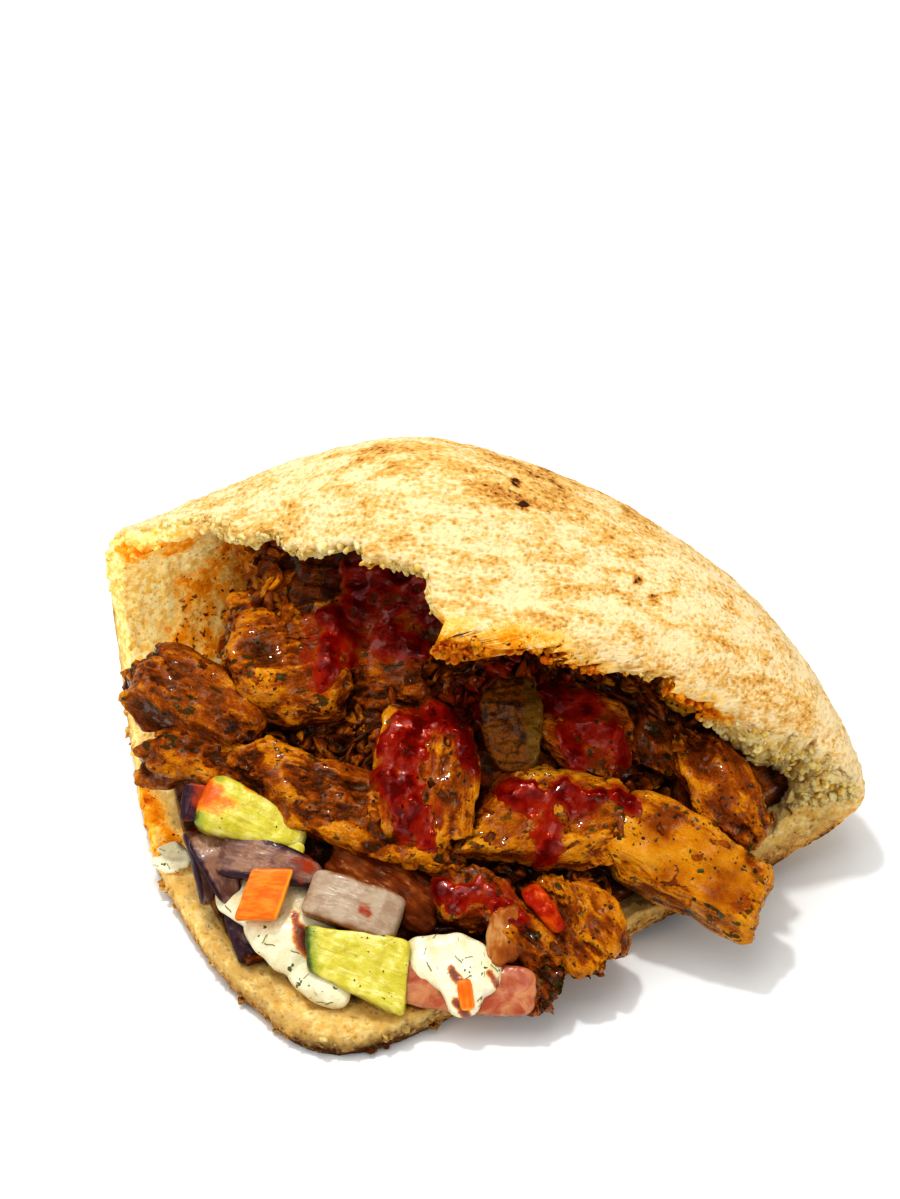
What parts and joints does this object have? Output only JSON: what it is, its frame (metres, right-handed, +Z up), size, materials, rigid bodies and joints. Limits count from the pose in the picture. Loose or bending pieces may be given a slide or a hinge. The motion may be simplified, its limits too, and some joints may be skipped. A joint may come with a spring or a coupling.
{
  "type": "doner kebab sandwich",
  "caption": "Quarter of a round flatbread opened as a pocket, filled with sliced marinated chicken, ketchup, red onion, cucumber, carrot, tomato and a white dill sauce.",
  "frame": {"origin": "under the middle of the bounding box, on the surface that the bread lies on", "axes": "+Z up; -Y towards the open mouth; +X towards the low right-hand end of the crust, seen from the mouth"},
  "size_m": [0.1902, 0.139, 0.0955],
  "materials": {
    "bread": "dry, pale and toasted, with a porous crumb",
    "chicken": "moist, marinated orange-brown, with black pepper",
    "chicken_with_ketchup": "marinated meat under glossy dark red ketchup",
    "mushroom": "brown, soft and moist",
    "cucumber": "wet yellow-green flesh with a green skin",
    "red_onion": "wet, translucent pinkish white with purple edges",
    "carrot": "wet cut orange flesh",
    "tomato": "wet pinkish red flesh",
    "red_pepper": "wet red-orange flesh",
    "yoghurt_sauce": "thick white sauce with dill"
  },
  "bodies": {
    "root": {"bread_pocket": "bread", "carrot_square": "carrot", "carrot_stick": "carrot", "cucumber_upper": "cucumber", "cucumber_lower": "cucumber", "onion_chunk_white": "red_onion", "onion_slab": "red_onion", "onion_strip_purple": "red_onion", "onion_layer_left": "red_onion", "onion_layer_middle": "red_onion", "onion_triangle": "red_onion", "cucumber_bit": "cucumber", "yoghurt_left": "yoghurt_sauce", "yoghurt_right": "yoghurt_sauce", "yoghurt_dab": "yoghurt_sauce", "tomato_slice": "tomato", "pepper_strip": "red_pepper", "mushroom_stalk": "mushroom", "chicken_slab_right": "chicken", "chicken_slab_ketchup": "chicken_with_ketchup", "mushroom_slice": "mushroom", "chicken_strip_centre": "chicken", "chicken_chunk_right": "chicken", "chicken_back_middle": "chicken_with_ketchup", "chicken_chunk_back": "chicken", "chicken_piece_back": "chicken", "chicken_lower_right": "chicken", "chicken_lower_middle": "chicken", "chicken_lower_strip": "chicken", "chicken_lower_left": "chicken", "chicken_lower_dark": "chicken", "mushroom_lower": "mushroom", "chicken_strip_front": "chicken", "chicken_left": "chicken", "chicken_shreds_left": "chicken", "chicken_upper_middle": "chicken_with_ketchup", "chicken_upper_left": "chicken", "chicken_under_ketchup": "chicken", "chicken_heap": "chicken"}
  },
  "joints": []
}
